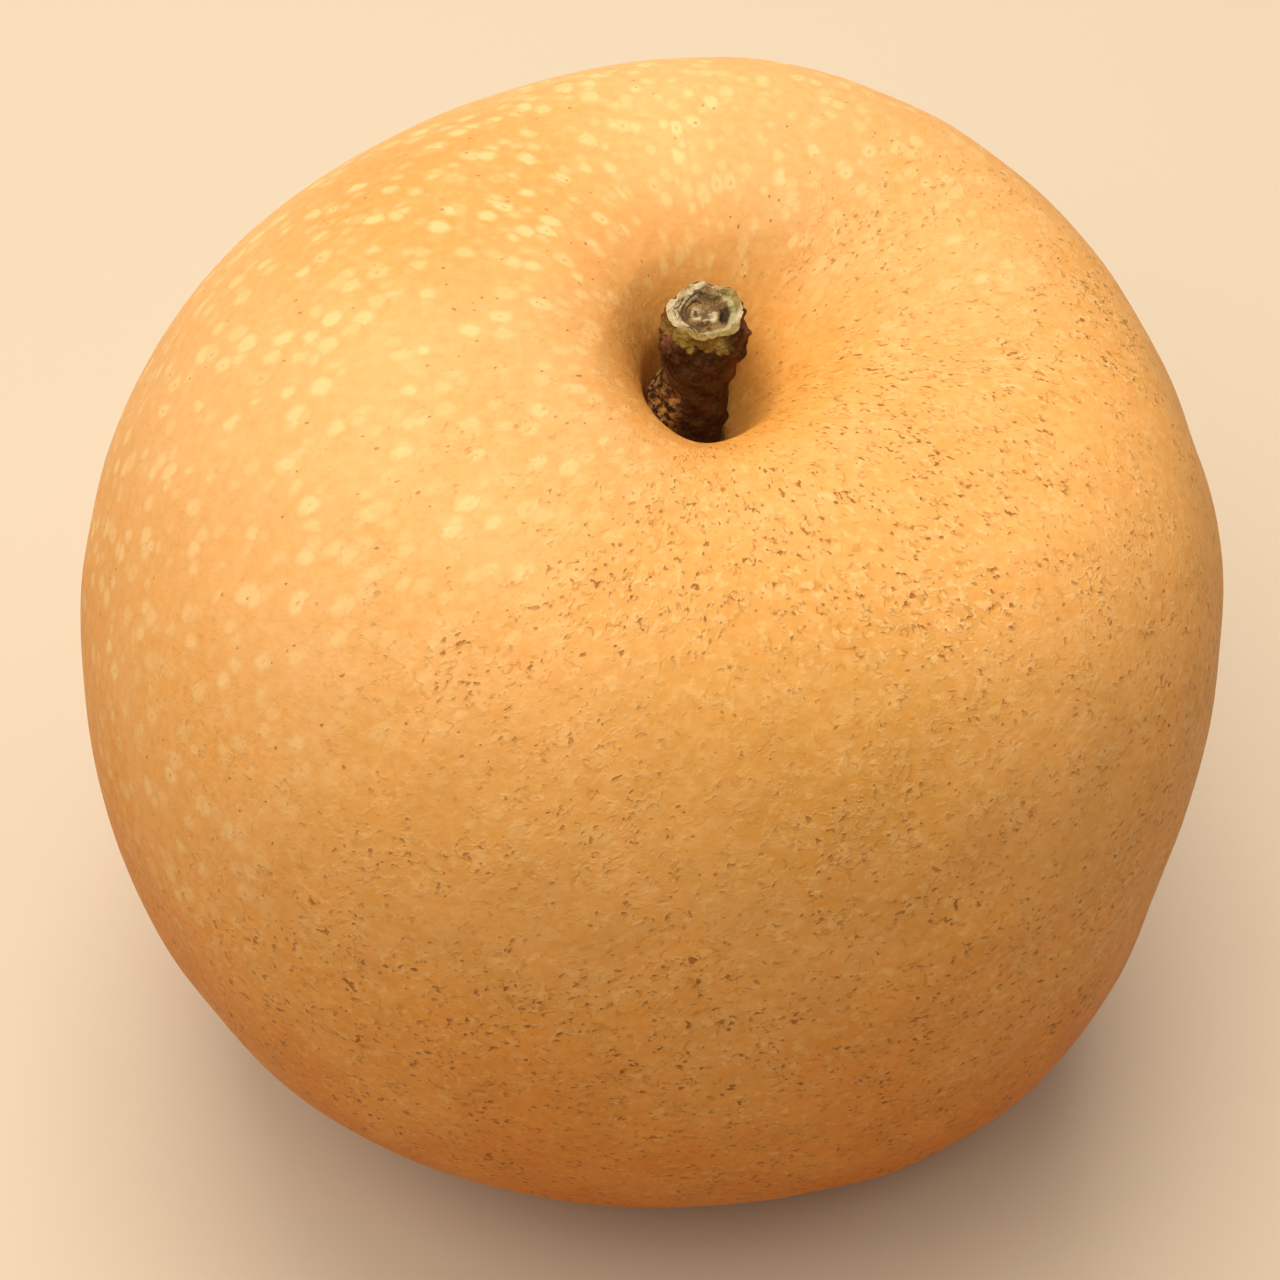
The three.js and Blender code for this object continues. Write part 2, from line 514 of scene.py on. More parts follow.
@dataclass
class Stem:
    """The woody stem: root, corky foot, thin neck, flare, ragged rim and a dished cut face.

    The neck, the flare, the bevel, the cork and the growth of the knobs are placed in shares of the
    length. Where the knobs end and where the cut, its tears and its heartwood lie is counted from 0
    on the bark over 1 at the edge of the cut to 2 in its middle.
    """

    length: float = 12.7
    root_radius: float = 2.7
    neck_radius: float = 2.55
    flare_radius: float = 3.25
    cut_radius: float = 2.85
    lean: float = 1.5
    lean_power: float = 0.65
    cork_bulge: float = 1.1
    cork_azimuth: float = 195.0
    neck_shares: Range = (0.0, 0.35)
    flare_shares: Range = (0.42, 0.85)
    bevel_shares: Range = (0.86, 1.0)
    cork_rise: Range = (0.07, 0.3)
    cork_fall: Range = (0.3, 0.62)
    lumps: tuple[Lump, ...] = (Lump(3, 0.9, 0.0), Lump(5, -1.7, 1.0), Lump(7, 2.9, 2.0))
    lump_height: float = 0.11
    lump_heights: Range = (0.5, 3.0)
    edge_shares: Range = (0.985, 1.0)
    cut_dish: float = 0.5
    dish_shares: Range = (0.0, 0.5)
    spur_height: float = 0.5
    spur_azimuth: float = 100.0
    rim_inner_share: float = 0.86
    gap: float = 0.3
    socket_depth: float = 3.0
    knobs: Bumps = Bumps(1.1, 36, seed=11)
    knob_heights: Range = (0.06, 0.16)
    knob_growth: Range = (0.6, 0.9)
    knob_middle: float = 0.6
    knobs_from: Range = (1.0, 3.0)
    knobs_to: Range = (0.6, 1.0)
    cut_from: Range = (0.9, 1.1)
    fibres: Bumps = Bumps(0.7, 30, seed=3)
    fibre_height: float = 0.05
    fibre_stretch: Vector = (1.0, 1.0, 0.2)
    tears: Bumps = Bumps(1.1, 24, seed=8)
    tear_depth: float = 0.22
    tears_to: Range = (1.0, 1.25)
    heartwood: Bumps = Bumps(1.6, 20, seed=21)
    heartwood_height: float = 0.38
    heartwood_from: Range = (1.4, 1.6)
    heartwood_lumps: float = 0.5
    sides: int = 240
    root_rings: int = 6
    socket_rings: int = 8
    bark_rings: int = 120
    rim_rings: int = 10
    face_rings: int = 34
    piece: bpy.types.Object | None = field(default=None, init=False)

    def radius_at(self, azimuth: Array, height: Array) -> Array:
        """Radius of the bark: the root, the neck, the flare and the bevel, one after another.

        Args:
            azimuth: the azimuths in radians.
            height: heights above the bottom of the pit in millimetres.

        Returns:
            The radii, with the corky swelling and the slow lumps.
        """
        share = height / self.length
        neck = lerp(self.root_radius, self.neck_radius, smooth(share, *self.neck_shares))
        flare = lerp(neck, self.flare_radius, smooth(share, *self.flare_shares))
        bevel = lerp(flare, self.cut_radius, smooth(share, *self.bevel_shares))
        swollen_side = np.clip(np.cos(azimuth - radians(self.cork_azimuth)), 0.0, None) ** 2
        swollen = smooth(share, *self.cork_rise) * (1.0 - smooth(share, *self.cork_fall))
        cork = self.cork_bulge * swollen_side * swollen
        lumps = self.lump_height * sum(lump.at(azimuth, height) for lump in self.lumps)
        return bevel + cork + lumps * smooth(height, *self.lump_heights)

    def cut_height(self, azimuth: Array) -> Array:
        """Height of the cut: level, with a spur of wood left standing at the back."""
        spur = np.clip(np.cos(azimuth - radians(self.spur_azimuth)), 0.0, None) ** 4
        return self.length + self.spur_height * spur

    def outline(self, azimuth: Array) -> list[Array]:
        """Radius, height and share along the outline of every ring at every azimuth.

        Args:
            azimuth: the azimuths in radians.

        Returns:
            Radii and heights in millimetres, and a number that is 0 on the bark, 1 at the edge of
            the cut and 2 in its middle.
        """
        bottom = self.gap - self.socket_depth
        cut = self.cut_height(azimuth)
        edge = self.radius_at(azimuth, cut)
        root = steps(self.root_rings, first=True)
        rise = steps(self.socket_rings)
        bark = cut * steps(self.bark_rings)
        rim = lerp(1.0, self.rim_inner_share, steps(self.rim_rings))
        face = steps(self.face_rings)
        sunk = lerp(cut, self.length - self.cut_dish, smooth(face, *self.dish_shares))
        return join(
            [
                (self.root_radius * root, bottom, 0.0),
                (self.root_radius, bottom * (1.0 - rise), 0.0),
                (self.radius_at(azimuth, bark), bark, smooth(bark / cut, *self.edge_shares)),
                (edge * rim, cut, 1.0),
                (edge * self.rim_inner_share * (1.0 - face), sunk, 1.0 + face),
            ],
            self.sides,
        )

    def build(self, fruit: Fruit) -> bpy.types.Object:
        """Makes the stem as one closed surface with its fine knobs and fibres.

        Args:
            fruit: the fruit that it stands in.

        Returns:
            The piece that stands for the CAD node "stem".
        """
        azimuth = around(self.sides)
        radius, height, share = self.outline(azimuth)
        core = fruit.core(fruit.stem_foot_height + np.minimum(height, 0.0))
        lean = self.lean * np.clip(height / self.length, 0.0, None) ** self.lean_power
        outward = np.stack([np.cos(azimuth), np.sin(azimuth)], axis=-1)
        places = turned(radius, height, azimuth)
        wall = smooth(height, *self.knobs_from) * (1.0 - smooth(share, *self.knobs_to))
        knobs = np.abs(self.knobs.at(places)) - self.knob_middle
        knob_height = lerp(*self.knob_heights, smooth(height / self.length, *self.knob_growth))
        places[..., :2] += outward * (knobs * knob_height * wall)[..., None]
        face = smooth(share, *self.cut_from)
        fibres = self.fibre_height * self.fibres.at(places * np.array(self.fibre_stretch))
        torn = 1.0 - smooth(share, *self.tears_to)
        tears = self.tear_depth * np.abs(self.tears.at(places)) * torn
        lumpy = 1.0 + self.heartwood_lumps * self.heartwood.at(places)
        heartwood = self.heartwood_height * smooth(share, *self.heartwood_from) * lumpy
        places[..., 2] += face * (fibres - tears) + heartwood
        places[..., :2] += core
        places[..., 0] += lean
        places[..., 2] += fruit.stem_foot_height
        places = fit_to_node(places, "stem")
        self.piece = ringed_object("stem_wood", places)
        add_attribute(self.piece, "cut_share", share)
        up = height / self.length
        add_attribute(self.piece, "stem_place", turned(np.ones_like(up), up, azimuth))
        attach(self.piece, "root")
        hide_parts("stem")
        log.info("stem_wood: %d points", len(self.piece.data.vertices))
        return self.piece

    def dress(self, finish: StemWood) -> None:
        """Gives the stem its bark and its cut wood."""
        self.piece.data.materials.append(finish.material())


# ---- Finishes -------------------------------------------------------------------------------


class Blend(Enum):
    """How one colour is laid over another."""

    OVER = "MIX"
    DARKEN = "MULTIPLY"


class Operation(Enum):
    """The sums that the finishes do with Math and Vector Math nodes."""

    ADD = "ADD"
    SUBTRACT = "SUBTRACT"
    MULTIPLY = "MULTIPLY"
    DIVIDE = "DIVIDE"
    LARGER = "MAXIMUM"
    SIZE = "ABSOLUTE"
    DISTANCE = "DISTANCE"
    ALONG = "DOT_PRODUCT"
    SCALE = "SCALE"


class Graph:
    """A node tree with short calls for the nodes that the finishes use."""

    def __init__(self, tree: bpy.types.NodeTree) -> None:
        """Keeps the tree that nodes are added to."""
        self.tree = tree

    def node(self, kind: str, **settings: object) -> bpy.types.Node:
        """Adds a node.

        Args:
            kind: the node's type name.
            **settings: its settings.

        Returns:
            The node.
        """
        node = self.tree.nodes.new(kind)
        for key, value in settings.items():
            setattr(node, key, value)
        return node

    def put(self, socket: Socket, value: SocketValue) -> None:
        """Links a socket to an input, or sets the input's own value.

        Args:
            socket: the input.
            value: the socket or the value that it gets.
        """
        if isinstance(value, bpy.types.NodeSocket):
            self.tree.links.new(value, socket)
        elif isinstance(value, tuple) and socket.type == "RGBA":
            socket.default_value = (*value, 1.0)
        else:
            socket.default_value = value

    def math(self, operation: Operation, *values: SocketValue) -> Socket:
        """The result of a Math node on one or two numbers.

        Args:
            operation: what the node does.
            *values: the numbers.

        Returns:
            The result.
        """
        node = self.node("ShaderNodeMath", operation=operation.value)
        for place, value in enumerate(values):
            self.put(node.inputs[place], value)
        return node.outputs[0]

    def plus(self, first: SocketValue, second: SocketValue) -> Socket:
        """The sum of two numbers."""
        return self.math(Operation.ADD, first, second)

    def minus(self, first: SocketValue, second: SocketValue) -> Socket:
        """The first number less the second."""
        return self.math(Operation.SUBTRACT, first, second)

    def over(self, first: SocketValue, second: SocketValue) -> Socket:
        """The first number divided by the second."""
        return self.math(Operation.DIVIDE, first, second)

    def larger(self, first: SocketValue, second: SocketValue) -> Socket:
        """The larger of two numbers."""
        return self.math(Operation.LARGER, first, second)

    def size(self, value: SocketValue) -> Socket:
        """A number without its sign."""
        return self.math(Operation.SIZE, value)

    def vector(
        self,
        operation: Operation,
        first: SocketValue,
        second: SocketValue,
        output: str = "Vector",
    ) -> Socket:
        """The result of a Vector Math node on two vectors.

        Args:
            operation: what the node does.
            first: the first vector.
            second: the second.
            output: the name of the node's output: "Vector", or "Value" for a number.

        Returns:
            The result.
        """
        node = self.node("ShaderNodeVectorMath", operation=operation.value)
        self.put(node.inputs[0], first)
        self.put(node.inputs[1], second)
        return node.outputs[output]

    def along(self, vector: SocketValue, direction: SocketValue) -> Socket:
        """How far a vector goes along a direction of length 1: their dot product."""
        return self.vector(Operation.ALONG, vector, direction, "Value")

    def distance(self, first: SocketValue, second: SocketValue) -> Socket:
        """The distance between two places."""
        return self.vector(Operation.DISTANCE, first, second, "Value")

    def scaled(self, vector: Socket, scale: SocketValue) -> Socket:
        """A vector times a number.

        Args:
            vector: the vector.
            scale: the number.

        Returns:
            The longer or shorter vector.
        """
        node = self.node("ShaderNodeVectorMath", operation=Operation.SCALE.value)
        self.put(node.inputs[0], vector)
        self.put(node.inputs["Scale"], scale)
        return node.outputs["Vector"]

    def step(self, value: SocketValue, low: SocketValue, high: SocketValue) -> Socket:
        """Smoothstep from 0 at low to 1 at high. With low above high it falls from 1 to 0.

        Args:
            value: the number.
            low: where the step is 0.
            high: where the step is 1.

        Returns:
            A number from 0 to 1.
        """
        node = self.node("ShaderNodeMapRange", interpolation_type="SMOOTHSTEP")
        falls = not isinstance(low, bpy.types.NodeSocket) and low > high
        self.put(node.inputs["Value"], value)
        self.put(node.inputs["From Min"], high if falls else low)
        self.put(node.inputs["From Max"], low if falls else high)
        self.put(node.inputs["To Min"], 1.0 if falls else 0.0)
        self.put(node.inputs["To Max"], 0.0 if falls else 1.0)
        return node.outputs["Result"]

    def product(self, *values: SocketValue) -> Socket:
        """All the values multiplied.

        Args:
            *values: the numbers.

        Returns:
            Their product.
        """
        result = values[0]
        for value in values[1:]:
            result = self.math(Operation.MULTIPLY, result, value)
        return result

    def lerp(self, share: SocketValue, start: float, end: float) -> Socket:
        """The number that lies a share of the way from start to end."""
        return self.plus(self.product(share, end - start), start)

    def total(self, *parts: tuple[SocketValue, float]) -> Socket:
        """The sum of some numbers, each times its own weight.

        Args:
            *parts: each number with its weight.

        Returns:
            The sum.
        """
        result, *others = (self.product(value, weight) for value, weight in parts)
        for value in others:
            result = self.plus(result, value)
        return result

    def noise(self, vector: Socket, length: float, detail: float = 2.0) -> Socket:
        """Noise with features about length across, in the vector's own unit, around 0.5.

        Args:
            vector: where the texture is read.
            length: the size of its features.
            detail: how many finer octaves it has.

        Returns:
            The noise.
        """
        node = self.node("ShaderNodeTexNoise")
        self.put(node.inputs["Vector"], vector)
        self.put(node.inputs["Scale"], 1.0 / length)
        self.put(node.inputs["Detail"], detail)
        return node.outputs["Fac"]

    def split(self, colour: Socket) -> tuple[Socket, Socket, Socket]:
        """The three channels of a colour, as numbers.

        Args:
            colour: the colour.

        Returns:
            Its red, its green and its blue.
        """
        node = self.node("ShaderNodeSeparateColor")
        self.put(node.inputs[0], colour)
        return node.outputs[0], node.outputs[1], node.outputs[2]

    def mix(
        self,
        share: SocketValue,
        base: SocketValue,
        top: SocketValue,
        blend: Blend = Blend.OVER,
    ) -> Socket:
        """One colour laid over another.

        Args:
            share: how much of the top colour shows.
            base: the colour underneath.
            top: the colour laid over it.
            blend: how it is laid.

        Returns:
            The mixed colour.
        """
        node = self.node("ShaderNodeMix", data_type="RGBA", blend_type=blend.value)
        self.put(node.inputs["Factor"], share)
        self.put(node.inputs[MIX_BASE], base)
        self.put(node.inputs[MIX_TOP], top)
        return node.outputs[MIX_RESULT]

    def attribute(self, name: str, output: str = "Fac") -> Socket:
        """A value stored on the mesh."""
        return self.node("ShaderNodeAttribute", attribute_name=name).outputs[output]

    def group(self, group: bpy.types.NodeTree, **values: SocketValue) -> dict[str, Socket]:
        """Places a node group with its own values.

        Args:
            group: the group.
            **values: its inputs by name, with underscores for spaces.

        Returns:
            Its outputs by name.
        """
        node = self.node("ShaderNodeGroup", node_tree=group)
        for key, value in values.items():
            self.put(node.inputs[key.replace("_", " ")], value)
        return {output.name: output for output in node.outputs}

    def emboss(self, shader: bpy.types.Node, lift: Socket, distance: float) -> None:
        """Raises the shader's surface by a lift, with Bump.

        Args:
            shader: the Principled node.
            lift: the lift, as a number.
            distance: how high a lift of 1 is, in millimetres.
        """
        bump = self.node("ShaderNodeBump")
        bump.inputs["Distance"].default_value = distance * MM
        self.put(bump.inputs["Height"], lift)
        self.put(shader.inputs["Normal"], bump.outputs["Normal"])


def new_group(
    name: str,
    numbers: tuple[str, ...],
    results: tuple[str, ...],
) -> tuple[bpy.types.NodeTree, Graph, dict[str, Socket], bpy.types.NodeInputs]:
    """An empty node group that reads a Place and some numbers and gives numbers.

    Args:
        name: the group's name.
        numbers: the names of its numbers, after the Place.
        results: the names of its outputs.

    Returns:
        The group, its graph, what it reads by name, and where its results go.
    """
    tree = bpy.data.node_groups.new(name, "ShaderNodeTree")
    tree.interface.new_socket("Place", in_out="INPUT", socket_type="NodeSocketVector")
    for in_out, names in (("INPUT", numbers), ("OUTPUT", results)):
        for socket in names:
            tree.interface.new_socket(socket, in_out=in_out, socket_type="NodeSocketFloat")
    graph = Graph(tree)
    inputs = {socket.name: socket for socket in graph.node("NodeGroupInput").outputs}
    return tree, graph, inputs, graph.node("NodeGroupOutput").inputs


def grain_group() -> bpy.types.NodeTree:
    """The uneven tone and fine grain that skin, bark and cut wood share, built once.

    Its inputs are the Place, the Patch Length and the Grain Length. Its outputs are Patches, soft
    blotches of about the patch length, and Grain, fine noise, both from 0 to 1.

    Returns:
        The node group.
    """
    name = "Uneven tone"
    if name in bpy.data.node_groups:
        return bpy.data.node_groups[name]
    numbers, results = ("Patch Length", "Grain Length"), ("Patches", "Grain")
    tree, graph, inputs, outputs = new_group(name, numbers, results)
    for length, result, detail, limits in (
        ("Patch Length", "Patches", 3.0, (0.36, 0.64)),
        ("Grain Length", "Grain", 4.0, (0.3, 0.7)),
    ):
        noise = graph.node("ShaderNodeTexNoise")
        graph.put(noise.inputs["Vector"], inputs["Place"])
        graph.put(noise.inputs["Scale"], graph.over(1.0, inputs[length]))
        graph.put(noise.inputs["Detail"], detail)
        graph.put(outputs[result], graph.step(noise.outputs["Fac"], *limits))
    return tree


def spots_group() -> bpy.types.NodeTree:
    """Scattered round spots, which the skin uses for its dots and pin-pricks, built once.

    Its inputs are the Place, the Spacing of the spots, their mean Radius and the Softness of their
    edge. Its outputs are Spot, 1 inside a spot; Ring, 1 on its edge; Inside, the distance from its
    centre as a share of its radius; and Chance and Kind, two random numbers for each spot.

    Returns:
        The node group.
    """
    name = "Scattered spots"
    if name in bpy.data.node_groups:
        return bpy.data.node_groups[name]
    numbers, results = ("Spacing", "Radius", "Softness"), ("Spot", "Ring", "Inside", "Chance", "Kind")
    tree, graph, inputs, outputs = new_group(name, numbers, results)
    cells = graph.node("ShaderNodeTexVoronoi")
    graph.put(cells.inputs["Vector"], inputs["Place"])
    graph.put(cells.inputs["Scale"], graph.over(1.0, inputs["Spacing"]))
    distance = graph.product(cells.outputs["Distance"], inputs["Spacing"])
    size, chance, kind = graph.split(cells.outputs["Color"])
    radius = graph.product(inputs["Radius"], graph.lerp(size, *SPOT_SIZES))
    edge = graph.over(graph.minus(distance, radius), inputs["Softness"])
    graph.put(outputs["Spot"], graph.step(edge, 1.0, -1.0))
    graph.put(outputs["Ring"], graph.step(graph.size(edge), 1.0, 0.0))
    graph.put(outputs["Inside"], graph.over(distance, radius))
    graph.put(outputs["Chance"], chance)
    graph.put(outputs["Kind"], kind)
    return tree


def new_material(name: str) -> tuple[bpy.types.Material, Graph, bpy.types.Node]:
    """A material with a plain Principled BSDF on its output.

    Args:
        name: the material's name.

    Returns:
        The material, its graph and its Principled node.
    """
    material = bpy.data.materials.new(name)
    material.use_nodes = True
    material.node_tree.nodes.clear()
    graph = Graph(material.node_tree)
    shader = graph.node("ShaderNodeBsdfPrincipled")
    output = graph.node("ShaderNodeOutputMaterial")
    graph.put(output.inputs["Surface"], shader.outputs["BSDF"])
    return material, graph, shader


@dataclass(frozen=True)
class Blotch:
    """A broad blotch of another tone on the skin, strongest in its middle.

    Attributes:
        colour: its colour.
        middle: its middle in millimetres.
        reach: how far from the middle it starts to show.
        core: how far from the middle it shows in full.
        share: how much of its colour shows there.
    """

    colour: Colour
    middle: Vector
    reach: float
    core: float
    share: float


@dataclass(frozen=True)
class SkinPlaces:
    """What the layers of the skin read: places in millimetres and the sides of the fruit.

    Attributes:
        place: places in space.
        near: the same, moved about a little.
        grown: places on the skin before it grew into the bowl.
        skin: the same, moved about.
        ragged: the same, moved about more finely.
        pale: 1 on the smooth side with pale dots and 0 on the rough side.
        rough: the opposite.
        height: heights with an uneven limit.
        wander: how much of the height is uneven.
        broad: wide patches and fine grain.
        small: small patches and coarse grain.
    """

    place: Socket
    near: Socket
    grown: Socket
    skin: Socket
    ragged: Socket
    pale: Socket
    rough: Socket
    height: Socket
    wander: Socket
    broad: dict[str, Socket]
    small: dict[str, Socket]


@dataclass(frozen=True)
class Marks:
    """The corky marks of the rough side, each as a share from 0 to 1.

    Attributes:
        flake: pale corky flakes.
        brown: brown flecks.
        dash: short curved lines.
        prick: dark pin-pricks and the dark cores of flecks.
    """

    flake: Socket
    brown: Socket
    dash: Socket
    prick: Socket


@dataclass(frozen=True)
class RussetSkin:
    """Thin russet skin: golden brown with pale dots, dark pin-pricks and corky marks.

    The pale dots show on the side that pale_side points to. The other side is rough, with corky
    flakes, short curved marks and clusters of pin-pricks. The skin is painted paler towards the top as
    painted light, where the lamps fall from above. One blotch is orange, and one is ochre: the skin's
    own tint, partly painted shade where the right front shoulder turns from the light. Low on the
    belly the skin is painted darker and more saturated as shade, and in the bowl darker and warmer as
    painted shade of the hollow. A warp holds the length of a noise and how far it moves places. All
    noise lies around 0.5.
    """

    # Painted light: the top colour is a paler skin laid on towards the top, where the lamps fall from
    # above.
    top: Colour = (0.82, 0.44, 0.165)
    flank: Colour = (0.80, 0.345, 0.066)
    # Painted shade, multiplied in low on the belly: darker and more saturated where the fruit turns from
    # the lamps.
    painted_low_shade: Colour = (0.74, 0.46, 0.07)
    # Painted shade, multiplied in round the stem: darker and warmer in the hollow of the bowl.
    painted_bowl_shade: Colour = (0.97, 0.87, 0.58)
    ochre: Colour = (0.58, 0.265, 0.045)
    dot: Colour = (0.93, 0.65, 0.29)
    mark: Colour = (0.42, 0.15, 0.014)
    prick: Colour = (0.31, 0.08, 0.004)
    scar: Colour = (0.16, 0.075, 0.025)
    blotches: tuple[Blotch, ...] = (
        Blotch((0.78, 0.32, 0.078), (-12.0, 9.0, 82.0), 20.0, 5.0, 0.8),
        # The ochre blotch on the right front is the skin's own tint and partly painted shade, darker where
        # the shoulder turns from the light.
        Blotch(ochre, (12.0, -33.0, 73.0), 21.0, 2.0, 0.75),
    )
    skin_warp: Range = (1.6, 0.7)
    ragged_warp: Range = (0.4, 0.3)
    near_warp: Range = (0.5, 0.35)
    dot_warp: Range = (0.9, 0.5)
    pale_side: Vector = (-0.62, 0.58, 0.42)
    pale_limits: Range = (-0.15, 0.55)
    limit_length: float = 12.0
    limit_wander: float = 0.9
    middle: Vector = (0.0, 0.0, 41.0)
    half_width: float = 45.0
    height_wander: float = 12.0
    blotch_wander: float = 0.3
    # Heights and shares of the painted light: the paler skin towards the top, more on the dotted side.
    painted_light_heights: Range = (42.0, 76.0)
    painted_light_share: Range = (0.45, 0.9)
    broad_patch_length: float = 15.0
    broad_grain_length: float = 0.4
    small_patch_length: float = 4.5
    small_grain_length: float = 1.4
    worn_broad_share: float = 0.18
    worn_small_share: float = 0.22
    # Where the painted shade low on the belly starts and where it is full.
    low_shade_heights: Range = (60.0, 4.0)
    # How far round the stem and how high the painted shade of the bowl reaches.
    bowl_shade_reach: Range = (24.0, 14.0)
    bowl_shade_heights: Range = (50.0, 60.0)
    grain_share: float = 0.2
    mottle_length: float = 0.9
    pale_mottle: Range = (0.46, 0.7)
    pale_mottle_share: float = 0.12
    dark_mottle: Range = (0.48, 0.3)
    dark_mottle_share: float = 0.09
    dot_spacing: float = 1.95
    dot_radius: float = 0.78
    dot_softness: float = 0.34
    dot_strength: Range = (0.3, 1.0)
    dot_share: Range = (0.1, 0.6)
    halo_share: float = 0.07
    heart_size: Range = (0.3, 0.14)
    heart_chance: Range = (0.62, 0.72)
    heart_share: float = 0.35
    crowd_length: float = 6.0
    crowded: Range = (0.34, 0.56)
    crowd_weight: float = 0.4
    side_weight: float = 0.3
    shoulder_heights: Range = (72.0, 80.0)
    shoulder_weight: float = 0.58
    belly_heights: Range = (70.0, 52.0)
    belly_weight: float = 0.5
    cluster_length: float = 2.0
    clustered: Range = (0.43, 0.54)
    fleck_length: float = 0.55
    fleck_core: Range = (0.67, 0.73)
    fleck_brown: Range = (0.57, 0.665)
    fleck_edge: Range = (0.53, 0.6)
    brown_share: float = 0.62
    dash_length: float = 1.6
    dash_width: Range = (0.042, 0.01)
    dash_gap_length: float = 0.95
    dash_gaps: Range = (0.53, 0.62)
    dash_share: float = 0.34
    flake_length: float = 0.85
    flaked: Range = (0.53, 0.68)
    flake_share: float = 0.24
    prick_spacing: float = 0.8
    prick_radius: float = 0.12
    prick_softness: float = 0.06
    prick_chance: Range = (0.95, 1.0)
    prick_crowding: Range = (0.05, 0.21)
    prick_share: float = 0.5
    roughness: Range = (0.43, 0.55)
    dot_roughness: float = 0.06
    fine_lift: float = 0.14
    coarse_lift: float = 0.22
    mottle_lift: float = 0.3
    flake_lift: float = 0.36
    dot_lift: Range = (0.1, 0.3)
    dash_lift: float = -0.35
    prick_lift: float = -0.7
    specular: float = 0.08
    relief: float = 0.08

    def material(self) -> bpy.types.Material:
        """Builds the skin's material.

        Returns:
            The material.
        """
        material, graph, shader = new_material("russet_skin")
        at = self.places(graph)
        colour = self.ground(graph, at)
        mottle = graph.noise(at.near, self.mottle_length, detail=4.0)
        paler = graph.product(graph.step(mottle, *self.pale_mottle), self.pale_mottle_share)
        colour = graph.mix(paler, colour, self.dot)
        darker = graph.product(graph.step(mottle, *self.dark_mottle), self.dark_mottle_share)
        colour = graph.mix(darker, colour, self.mark)
        colour, disc = self.dotted(graph, at, colour)
        marks = self.marks(graph, at)
        for mark, share, top in (
            (marks.flake, self.flake_share, self.dot),
            (marks.brown, self.brown_share, self.mark),
            (marks.dash, self.dash_share, self.mark),
            (marks.prick, self.prick_share, self.prick),
        ):
            colour = graph.mix(graph.product(mark, share), colour, top)
        graph.put(shader.inputs["Base Color"], self.painted_shade_and_scar(graph, at, colour))
        roughness = graph.lerp(at.broad["Grain"], *self.roughness)
        roughness = graph.plus(roughness, graph.product(disc, self.dot_roughness))
        graph.put(shader.inputs["Roughness"], roughness)
        shader.inputs["Specular IOR Level"].default_value = self.specular
        raised_disc = graph.product(disc, graph.lerp(at.rough, *self.dot_lift))
        lift = graph.total(
            (at.broad["Grain"], self.fine_lift),
            (at.small["Grain"], self.coarse_lift),
            (mottle, self.mottle_lift),
            (marks.flake, self.flake_lift),
            (raised_disc, 1.0),
            (marks.dash, self.dash_lift),
            (marks.prick, self.prick_lift),
        )
        graph.emboss(shader, lift, self.relief)
        return material

    def places(self, graph: Graph) -> SkinPlaces:
        """The places and sides that the other layers read.

        Args:
            graph: the material's graph.

        Returns:
            Their sockets.
        """
        texture = graph.node("ShaderNodeTexCoord")
        place = graph.scaled(texture.outputs["Object"], 1.0 / MM)
        grown = graph.attribute("skin_place", "Vector")
        skin = self.warped(graph, grown, *self.skin_warp)
        near = self.warped(graph, place, *self.near_warp)
        pale = graph.step(self.facing(graph, place, self.pale_side, skin), *self.pale_limits)
        broad = graph.group(
            grain_group(),
            Place=place,
            Patch_Length=self.broad_patch_length,
            Grain_Length=self.broad_grain_length,
        )
        small = graph.group(
            grain_group(),
            Place=near,
            Patch_Length=self.small_patch_length,
            Grain_Length=self.small_grain_length,
        )
        wander = graph.product(graph.minus(broad["Patches"], 0.5), self.height_wander)
        return SkinPlaces(
            place=place,
            near=near,
            grown=grown,
            skin=skin,
            ragged=self.warped(graph, skin, *self.ragged_warp),
            pale=pale,
            rough=graph.minus(1.0, pale),
            height=graph.plus(graph.along(place, UP), wander),
            wander=wander,
            broad=broad,
            small=small,
        )

    def ground(self, graph: Graph, at: SkinPlaces) -> Socket:
        """The tone under the marks: paler towards the top as painted light, with blotches, worn patches and
        grain.

        Args:
            graph: the material's graph.
            at: the places.

        Returns:
            The colour.
        """
        # Painted light: paler towards the top where the lamps fall from above, more so on the dotted side.
        painted_light = graph.product(
            graph.step(at.height, *self.painted_light_heights),
            graph.lerp(at.pale, *self.painted_light_share),
        )
        colour = graph.mix(painted_light, self.flank, self.top)
        uneven = graph.product(at.wander, self.blotch_wander)
        # Blotches: one orange, and one ochre that is partly painted shade.
        for blotch in self.blotches:
            away = graph.plus(graph.distance(at.near, blotch.middle), uneven)
            shows = graph.product(graph.step(away, blotch.reach, blotch.core), blotch.share)
            colour = graph.mix(shows, colour, blotch.colour)
        wear_and_painted_sheen = graph.total(
            (at.small["Patches"], self.worn_small_share),
            (at.broad["Patches"], self.worn_broad_share),
        )
        colour = graph.mix(graph.product(wear_and_painted_sheen, at.rough), colour, self.ochre)
        return graph.mix(graph.product(at.small["Grain"], self.grain_share), colour, self.flank)

